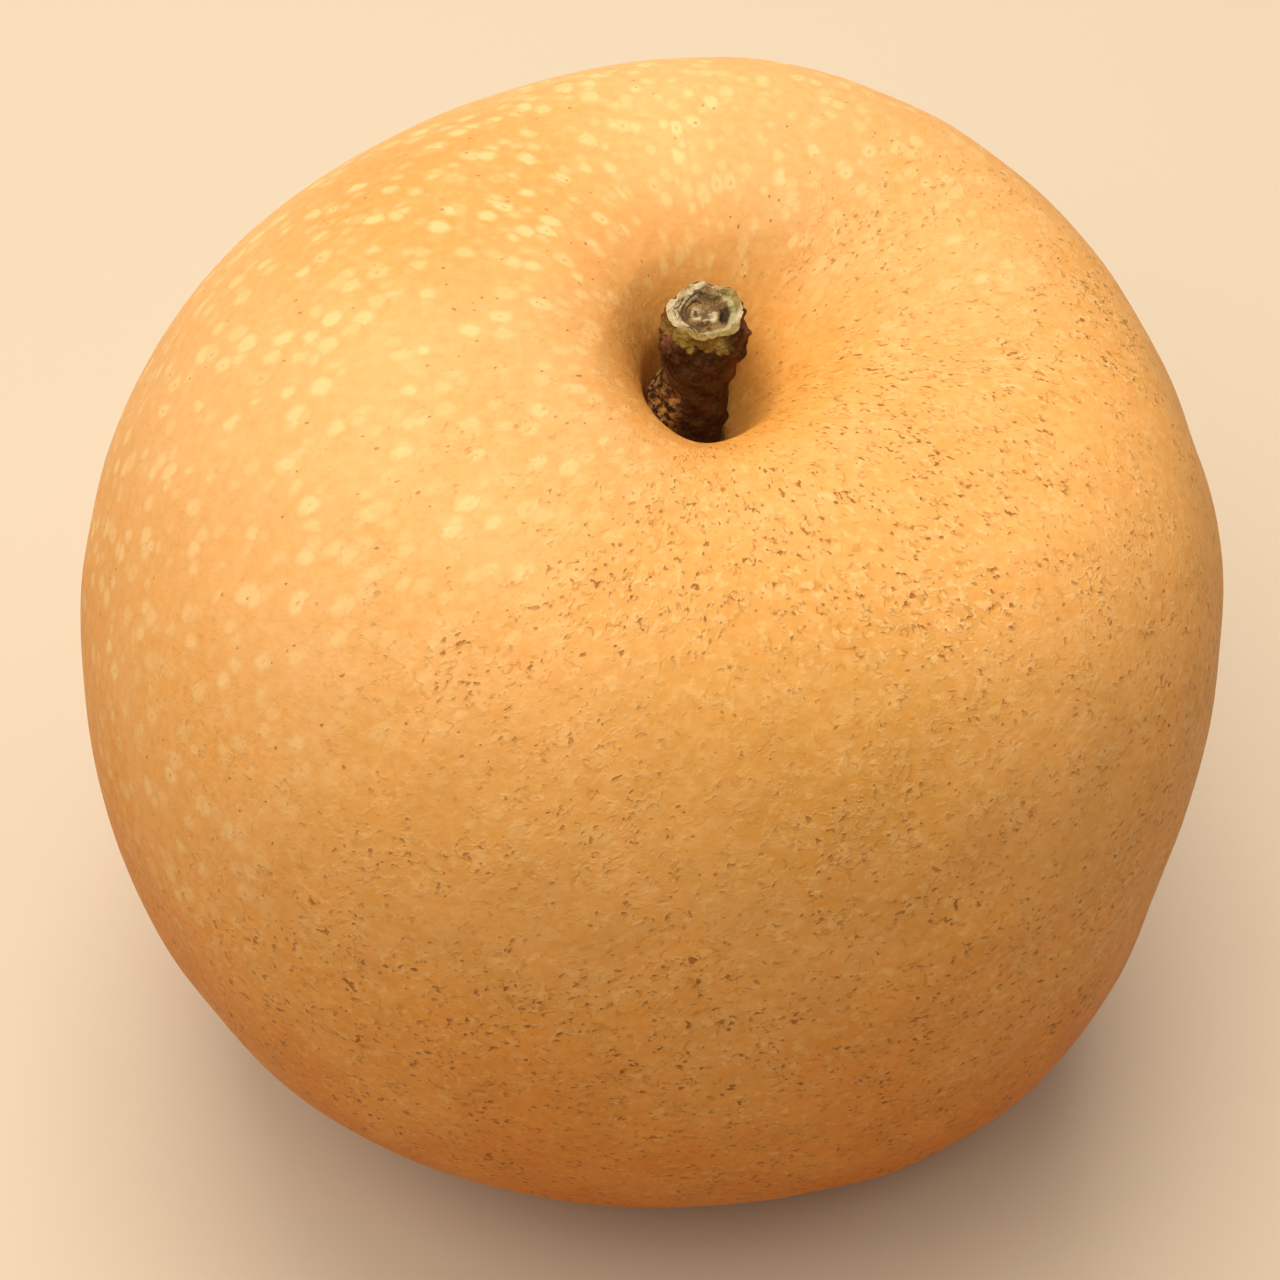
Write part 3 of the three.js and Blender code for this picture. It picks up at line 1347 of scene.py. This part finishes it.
    def dotted(self, graph: Graph, at: SkinPlaces, colour: Socket) -> tuple[Socket, Socket]:
        """Lays the pale dots over the skin, each with a faint halo and some with a dark heart.

        Args:
            graph: the material's graph.
            at: the places.
            colour: the colour underneath.

        Returns:
            The colour with the dots, and how much of a dot there is.
        """
        dots = graph.group(
            spots_group(),
            Place=self.warped(graph, at.ragged, *self.dot_warp),
            Spacing=self.dot_spacing,
            Radius=self.dot_radius,
            Softness=self.dot_softness,
        )
        disc = graph.product(dots["Spot"], graph.lerp(dots["Kind"], *self.dot_strength))
        colour = graph.mix(graph.product(disc, graph.lerp(at.pale, *self.dot_share)), colour, self.dot)
        colour = graph.mix(graph.product(dots["Ring"], at.pale, self.halo_share), colour, self.mark)
        hearts = graph.step(dots["Chance"], *self.heart_chance)
        heart = graph.product(graph.step(dots["Inside"], *self.heart_size), hearts)
        return graph.mix(graph.product(heart, self.heart_share), colour, self.mark), disc

    def marks(self, graph: Graph, at: SkinPlaces) -> Marks:
        """The corky marks, crowded in clusters on the shoulder and low on the rough side.

        Args:
            graph: the material's graph.
            at: the places.

        Returns:
            Their sockets.
        """
        crowd = graph.product(graph.step(graph.noise(at.skin, self.crowd_length), *self.crowded), at.rough)
        shoulder = graph.product(graph.step(at.height, *self.shoulder_heights), at.rough)
        belly = graph.product(graph.step(at.height, *self.belly_heights), at.rough)
        here = graph.total(
            (crowd, self.crowd_weight),
            (at.rough, self.side_weight),
            (shoulder, self.shoulder_weight),
            (belly, self.belly_weight),
        )
        cluster = graph.step(graph.noise(at.skin, self.cluster_length, detail=1.0), *self.clustered)
        fleck = graph.noise(at.ragged, self.fleck_length, detail=1.0)
        core, brown, edge = (
            graph.product(graph.step(fleck, *limits), cluster, here)
            for limits in (self.fleck_core, self.fleck_brown, self.fleck_edge)
        )
        line = graph.minus(graph.noise(at.ragged, self.dash_length, detail=1.0), 0.5)
        line = graph.step(graph.size(line), *self.dash_width)
        broken = graph.step(graph.noise(at.skin, self.dash_gap_length, detail=1.0), *self.dash_gaps)
        flake = graph.product(graph.step(graph.noise(at.ragged, self.flake_length), *self.flaked), here)
        pricks = graph.group(
            spots_group(),
            Place=at.ragged,
            Spacing=self.prick_spacing,
            Radius=self.prick_radius,
            Softness=self.prick_softness,
        )
        chance = graph.plus(pricks["Chance"], graph.lerp(crowd, *self.prick_crowding))
        chosen = graph.product(pricks["Spot"], graph.step(chance, *self.prick_chance))
        return Marks(
            flake=graph.larger(flake, edge),
            brown=brown,
            dash=graph.product(line, broken, here),
            prick=graph.larger(chosen, core),
        )

    def painted_shade_and_scar(self, graph: Graph, at: SkinPlaces, colour: Socket) -> Socket:
        """Paints shade: darkens the skin low on the belly and in the bowl round the stem, and lays the
        calyx scar over it.

        Args:
            graph: the material's graph.
            at: the places.
            colour: the colour underneath.

        Returns:
            The colour.
        """
        # Painted shade: darker and more saturated low on the belly, where the fruit turns from the lamps.
        colour = graph.mix(graph.step(at.height, *self.low_shade_heights), colour, self.painted_low_shade, Blend.DARKEN)
        # Painted shade: darker and warmer in the hollow of the bowl round the stem.
        sideways = graph.vector(Operation.MULTIPLY, at.grown, (1.0, 1.0, 0.0))
        reach = graph.distance(sideways, (0.0, 0.0, 0.0))
        high = graph.step(at.height, *self.bowl_shade_heights)
        bowl_shade = graph.product(graph.step(reach, *self.bowl_shade_reach), high)
        colour = graph.mix(bowl_shade, colour, self.painted_bowl_shade, Blend.DARKEN)
        return graph.mix(graph.attribute("scar"), colour, self.scar)

    def warped(self, graph: Graph, vector: Socket, length: float, reach: float) -> Socket:
        """Places moved about by noise, so that what is drawn on them gets uneven edges.

        Args:
            graph: the material's graph.
            vector: the places.
            length: the size of the noise.
            reach: how far places move, from one extreme to the other.

        Returns:
            The moved places.
        """
        node = graph.node("ShaderNodeTexNoise")
        graph.put(node.inputs["Vector"], vector)
        graph.put(node.inputs["Scale"], 1.0 / length)
        shift = graph.vector(Operation.SUBTRACT, node.outputs["Color"], (0.5, 0.5, 0.5))
        return graph.vector(Operation.ADD, vector, graph.scaled(shift, reach))

    def facing(self, graph: Graph, place: Socket, direction: Vector, skin: Socket) -> Socket:
        """How far the skin lies towards a direction, with an uneven limit.

        Args:
            graph: the material's graph.
            place: where the texture is read.
            direction: the direction, of about unit length.
            skin: places on the skin, for the unevenness.

        Returns:
            About 1 at the end that the direction points to and -1 at the other.
        """
        lean = graph.along(graph.vector(Operation.SUBTRACT, place, self.middle), direction)
        wander = graph.minus(graph.noise(skin, self.limit_length), 0.5)
        return graph.plus(graph.over(lean, self.half_width), graph.product(wander, self.limit_wander))


@dataclass(frozen=True)
class StemPlaces:
    """What the layers of the stem read.

    Attributes:
        place: places in space in millimetres.
        cut: 0 on the bark, 1 at the edge of the cut and 2 in its middle.
        right: how far to the right round the stem, from -1 on its left side to 1 on its right.
        back: the same from the front to the back.
        height: how high up the stem, from 0 to 1.
        tone: uneven tone and grain.
    """

    place: Socket
    cut: Socket
    right: Socket
    back: Socket
    height: Socket
    tone: dict[str, Socket]


@dataclass(frozen=True)
class StemWood:
    """The stem's dark bark, its corky foot and its torn cut.

    The bark has paler bands, reddish sides, pale cork low on the left and a strip of olive inner
    bark under the cut. The cut has a greenish rim, layers of grey-beige wood with dark splits and a
    pale pith. Ranges of the cut count from 1 at its edge to 2 in its middle.
    """

    bark: Colour = (0.034, 0.011, 0.003)
    bark_light: Colour = (0.13, 0.055, 0.014)
    red_bark: Colour = (0.24, 0.075, 0.025)
    corky: Colour = (0.66, 0.34, 0.085)
    inner_bark: Colour = (0.27, 0.165, 0.027)
    green: Colour = (0.35, 0.33, 0.13)
    wood: Colour = (0.29, 0.16, 0.055)
    fibre: Colour = (0.62, 0.49, 0.28)
    split: Colour = (0.045, 0.026, 0.009)
    patch_length: float = 1.6
    grain_length: float = 0.35
    grain_share: float = 0.5
    band_stretch: Vector = (0.35, 0.35, 1.0)
    band_length: float = 0.9
    banded: Range = (0.52, 0.66)
    band_share: float = 0.6
    # Painted sheen: paler patches on the front of the bark at mid height, where the light shines on it.
    painted_sheen_from: Range = (0.2, 0.5)
    painted_sheen_to: Range = (0.95, 0.7)
    painted_sheen_front: Range = (0.2, -0.6)
    painted_sheen_share: float = 0.45
    red_sides: Range = (0.55, 0.95)
    red_heights: Range = (0.45, 0.7)
    red_share: float = 0.8
    cork_heights: Range = (0.66, 0.3)
    cork_left: Range = (-0.3, -0.7)
    flake_length: float = 0.5
    cork_flakes: Range = (0.38, 0.6)
    strip_heights: Range = (0.9, 0.92)
    strip_front: Range = (0.15, -0.35)
    strip_left: Range = (0.75, 0.3)
    strip_length: float = 0.9
    strip_wander: float = 0.2
    strip_share: float = 0.9
    layer_waves: float = 3.4
    layer_length: float = 1.6
    layer_count: float = 2.6
    layer_wander: float = 2.4
    torn_stretch: Vector = (1.0, 0.8, 0.6)
    torn_length: float = 0.75
    rim: Range = (1.3, 1.16)
    rim_share: float = 0.9
    pith: Range = (1.5, 1.66)
    pith_front: Range = (0.75, 0.1)
    pith_share: float = 0.95
    sound_wood: Range = (0.36, 0.56)
    green_right: Range = (-0.1, 0.7)
    green_from: Range = (1.0, 1.1)
    green_share: float = 0.6
    arc_layers: Range = (0.46, 0.38)
    arcs_from: Range = (1.04, 1.1)
    arcs_to: Range = (1.55, 1.4)
    arcs_left: Range = (0.5, -0.5)
    arc_share: float = 0.85
    groove_from: Range = (1.2, 1.3)
    groove_to: Range = (1.6, 1.46)
    groove_right: Range = (0.2, 0.8)
    groove_middle: Range = (0.7, 0.4)
    hollow_wood: Range = (0.5, 0.4)
    hollows_from: Range = (1.12, 1.3)
    hollow_share: float = 0.55
    edge_right: Range = (0.1, 0.7)
    edge_back: Range = (-0.1, 0.5)
    edge_front: Range = (-0.3, -0.8)
    edge_strength: Range = (0.1, 0.9)
    edge_width: Range = (1.11, 1.03)
    edge_share: float = 0.8
    on_cut: Range = (0.9, 1.0)
    roughness: Range = (0.6, 0.8)
    grain_lift: float = 0.6
    band_lift: float = 0.4
    split_lift: float = -0.6
    specular: float = 0.15
    relief: float = 0.2

    def material(self) -> bpy.types.Material:
        """Builds the stem's material.

        Returns:
            The material.
        """
        material, graph, shader = new_material("stem_wood")
        texture = graph.node("ShaderNodeTexCoord")
        place = graph.scaled(texture.outputs["Object"], 1.0 / MM)
        turn = graph.attribute("stem_place", "Vector")
        tone = graph.group(
            grain_group(),
            Place=place,
            Patch_Length=self.patch_length,
            Grain_Length=self.grain_length,
        )
        at = StemPlaces(
            place=place,
            cut=graph.attribute("cut_share"),
            right=graph.along(turn, RIGHT),
            back=graph.along(turn, BACK),
            height=graph.along(turn, UP),
            tone=tone,
        )
        widened = graph.vector(Operation.MULTIPLY, place, self.band_stretch)
        bands = graph.step(graph.noise(widened, self.band_length), *self.banded)
        drawn = graph.vector(Operation.MULTIPLY, place, self.torn_stretch)
        torn = graph.noise(drawn, self.torn_length, detail=3.0)
        splits = self.splits(graph, at, torn)
        on_cut = graph.step(at.cut, *self.on_cut)
        wood = self.cut_colour(graph, at, torn, splits)
        colour = graph.mix(on_cut, self.bark_colour(graph, at, bands), wood)
        graph.put(shader.inputs["Base Color"], colour)
        graph.put(shader.inputs["Roughness"], graph.lerp(at.tone["Grain"], *self.roughness))
        shader.inputs["Specular IOR Level"].default_value = self.specular
        lift = graph.total(
            (at.tone["Grain"], self.grain_lift),
            (bands, self.band_lift),
            (graph.product(splits, on_cut), self.split_lift),
        )
        graph.emboss(shader, lift, self.relief)
        return material

    def bark_colour(self, graph: Graph, at: StemPlaces, bands: Socket) -> Socket:
        """The bark: dark, with pale bands, a painted sheen, red sides, a corky foot and an olive strip.

        Args:
            graph: the material's graph.
            at: the places.
            bands: how much of a pale band there is.

        Returns:
            The colour.
        """
        colour = graph.mix(graph.product(at.tone["Grain"], self.grain_share), self.bark, self.bark_light)
        colour = graph.mix(graph.product(bands, self.band_share), colour, self.bark_light)
        # Painted sheen: paler patches on the front of the bark at mid height, a soft highlight painted in.
        wear_and_painted_sheen = graph.product(
            graph.step(at.height, *self.painted_sheen_from),
            graph.step(at.height, *self.painted_sheen_to),
            graph.step(at.back, *self.painted_sheen_front),
            at.tone["Patches"],
            self.painted_sheen_share,
        )
        colour = graph.mix(wear_and_painted_sheen, colour, self.bark_light)
        red = graph.product(
            graph.step(graph.size(at.right), *self.red_sides),
            graph.step(at.height, *self.red_heights),
            at.tone["Patches"],
            self.red_share,
        )
        colour = graph.mix(red, colour, self.red_bark)
        cork = graph.product(
            graph.step(at.height, *self.cork_heights),
            graph.step(at.right, *self.cork_left),
            graph.step(graph.noise(at.place, self.flake_length, detail=3.0), *self.cork_flakes),
        )
        colour = graph.mix(cork, colour, self.corky)
        uneven = graph.minus(graph.noise(at.place, self.strip_length, detail=3.0), 0.5)
        height = graph.plus(at.height, graph.product(uneven, self.strip_wander))
        strip = graph.product(
            graph.step(at.back, *self.strip_front),
            graph.step(at.right, *self.strip_left),
            graph.step(height, *self.strip_heights),
            self.strip_share,
        )
        return graph.mix(strip, colour, self.inner_bark)

    def cut_colour(self, graph: Graph, at: StemPlaces, torn: Socket, splits: Socket) -> Socket:
        """The cut wood: pale rim and pith, greenish on the right, dark splits, an olive outer edge.

        Args:
            graph: the material's graph.
            at: the places.
            torn: noise of the torn fibres.
            splits: how much of a dark split there is.

        Returns:
            The colour.
        """
        rim = graph.step(at.cut, *self.rim)
        pith = graph.product(graph.step(at.cut, *self.pith), graph.step(at.back, *self.pith_front))
        bright = graph.larger(graph.product(rim, self.rim_share), graph.product(pith, self.pith_share))
        colour = graph.mix(graph.product(bright, graph.step(torn, *self.sound_wood)), self.wood, self.fibre)
        greenish = graph.product(
            rim,
            graph.step(at.right, *self.green_right),
            graph.step(at.cut, *self.green_from),
            self.green_share,
        )
        colour = graph.mix(greenish, colour, self.green)
        colour = graph.mix(splits, colour, self.split)
        edge = graph.product(graph.step(at.right, *self.edge_right), graph.step(at.back, *self.edge_back))
        edge = graph.plus(edge, graph.step(at.back, *self.edge_front))
        outer = graph.product(graph.step(at.cut, *self.edge_width), graph.step(edge, *self.edge_strength))
        return graph.mix(graph.product(outer, self.edge_share), colour, self.inner_bark)

    def splits(self, graph: Graph, at: StemPlaces, torn: Socket) -> Socket:
        """The dark splits of the cut: arcs between layers, a groove on the right and small hollows.

        Args:
            graph: the material's graph.
            at: the places.
            torn: noise of the torn fibres.

        Returns:
            How much of a dark split there is.
        """
        wander = graph.noise(at.place, self.layer_length, detail=1.0)
        layer = graph.total((at.cut, self.layer_count), (wander, self.layer_wander))
        layered = graph.node("ShaderNodeTexNoise", noise_dimensions="1D")
        graph.put(layered.inputs["W"], layer)
        layered.inputs["Scale"].default_value = self.layer_waves
        arcs = graph.product(
            graph.step(layered.outputs["Fac"], *self.arc_layers),
            graph.step(at.cut, *self.arcs_from),
            graph.step(at.cut, *self.arcs_to),
            graph.step(at.right, *self.arcs_left),
            self.arc_share,
        )
        groove = graph.product(
            graph.step(at.cut, *self.groove_from),
            graph.step(at.cut, *self.groove_to),
            graph.step(at.right, *self.groove_right),
            graph.step(graph.size(at.back), *self.groove_middle),
        )
        hollows = graph.product(
            graph.step(torn, *self.hollow_wood),
            graph.step(at.cut, *self.hollows_from),
            self.hollow_share,
        )
        return graph.larger(graph.larger(groove, arcs), hollows)


@dataclass(frozen=True)
class PaleFloor:
    """Plain pale matt floor."""

    colour: Colour = (0.66, 0.53, 0.38)
    roughness: float = 0.75

    def material(self) -> bpy.types.Material:
        """Builds the floor's material.

        Returns:
            The material.
        """
        material, _, shader = new_material("pale_floor")
        shader.inputs["Base Color"].default_value = (*self.colour, 1.0)
        shader.inputs["Roughness"].default_value = self.roughness
        return material


# ---- Studio ---------------------------------------------------------------------------------


@dataclass(frozen=True)
class Softbox:
    """A square soft light that points at the fruit.

    Attributes:
        name: the light's name.
        azimuth: the direction that it stands in, in degrees from +X towards +Y.
        elevation: how high it stands, in degrees.
        distance: how far it stands from what it points at.
        size: the side of the square.
        power: watts.
        colour: its colour.
    """

    name: str
    azimuth: float
    elevation: float
    distance: float
    size: float
    power: float
    colour: Colour = (1.0, 0.96, 0.9)

    def add(self, target: Vector) -> None:
        """Places the light.

        Args:
            target: the place that it points at.
        """
        light = bpy.data.lights.new(self.name, "AREA")
        light.shape = "SQUARE"
        light.size = self.size * MM
        light.energy = self.power
        light.color = self.colour
        lamp = bpy.data.objects.new(self.name, light)
        azimuth, elevation = radians(self.azimuth), radians(self.elevation)
        flat = cos(elevation) * self.distance
        x, y, z = target
        lamp.location = (
            (x + flat * cos(azimuth)) * MM,
            (y + flat * sin(azimuth)) * MM,
            (z + sin(elevation) * self.distance) * MM,
        )
        lamp.rotation_euler = (pi / 2.0 - elevation, 0.0, azimuth + pi / 2.0)
        bpy.context.scene.collection.objects.link(lamp)


@dataclass
class Studio:
    """The plain floor, the soft lights and the camera."""

    floor_side: float = 20000.0
    camera_target: Vector = (0.73, -0.27, 41.45)
    camera_distance: float = 223.99
    camera_elevation: float = 50.0
    lens: float = 75.35
    sensor: float = 36.0
    clip_start: float = 10.0
    light_target: Vector = (0.0, 0.0, 40.0)
    world_colour: Colour = (1.0, 0.85, 0.65)
    world_strength: float = 0.08
    lights: tuple[Softbox, ...] = (
        Softbox("top_light", 100.0, 80.0, 900.0, 500.0, 5.3),
        Softbox("left_light", 175.0, 58.0, 900.0, 700.0, 2.7),
        Softbox("right_light", 10.0, 50.0, 900.0, 600.0, 1.1),
        Softbox("back_light", 95.0, 36.0, 900.0, 500.0, 2.0),
        Softbox("front_light", 245.0, 60.0, 900.0, 600.0, 3.6),
    )

    def add_floor(self) -> None:
        """A large square floor that the pear stands on."""
        half = self.floor_side / 2.0 * MM
        corners = [(-half, -half, 0.0), (half, -half, 0.0), (half, half, 0.0), (-half, half, 0.0)]
        mesh = bpy.data.meshes.new("floor")
        mesh.from_pydata(corners, [], [(0, 1, 2, 3)])
        floor = bpy.data.objects.new("floor", mesh)
        bpy.context.scene.collection.objects.link(floor)
        mesh.materials.append(PaleFloor().material())

    def add_world(self) -> None:
        """An even, slightly warm surrounding light."""
        world = bpy.data.worlds.new("surroundings")
        world.use_nodes = True
        background = world.node_tree.nodes["Background"]
        background.inputs["Color"].default_value = (*self.world_colour, 1.0)
        background.inputs["Strength"].default_value = self.world_strength
        bpy.context.scene.world = world

    def add_camera(self) -> None:
        """A camera above the front of the fruit, looking down at it."""
        camera = bpy.data.cameras.new("camera")
        camera.lens = self.lens
        camera.sensor_width = self.sensor
        camera.clip_start = self.clip_start * MM
        eye = bpy.data.objects.new("camera", camera)
        angle = radians(self.camera_elevation)
        x, y, z = self.camera_target
        back = self.camera_distance
        eye.location = (x * MM, (y - back * cos(angle)) * MM, (z + back * sin(angle)) * MM)
        eye.rotation_euler = (pi / 2.0 - angle, 0.0, 0.0)
        bpy.context.scene.collection.objects.link(eye)
        bpy.context.scene.camera = eye

    def build(self) -> None:
        """Sets up the whole studio."""
        self.add_floor()
        self.add_world()
        for light in self.lights:
            light.add(self.light_target)
        self.add_camera()
        bpy.context.scene.view_settings.view_transform = "Standard"


def main() -> None:
    """Builds the fruit, the stem and the studio, in that order."""
    logging.basicConfig(level=logging.INFO, format="%(name)s: %(message)s")
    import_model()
    fruit = Fruit()
    fruit.build()
    fruit.dress(RussetSkin())
    stem = Stem()
    stem.build(fruit)
    stem.dress(StemWood())
    Studio().build()


if __name__ == "__main__":
    main()
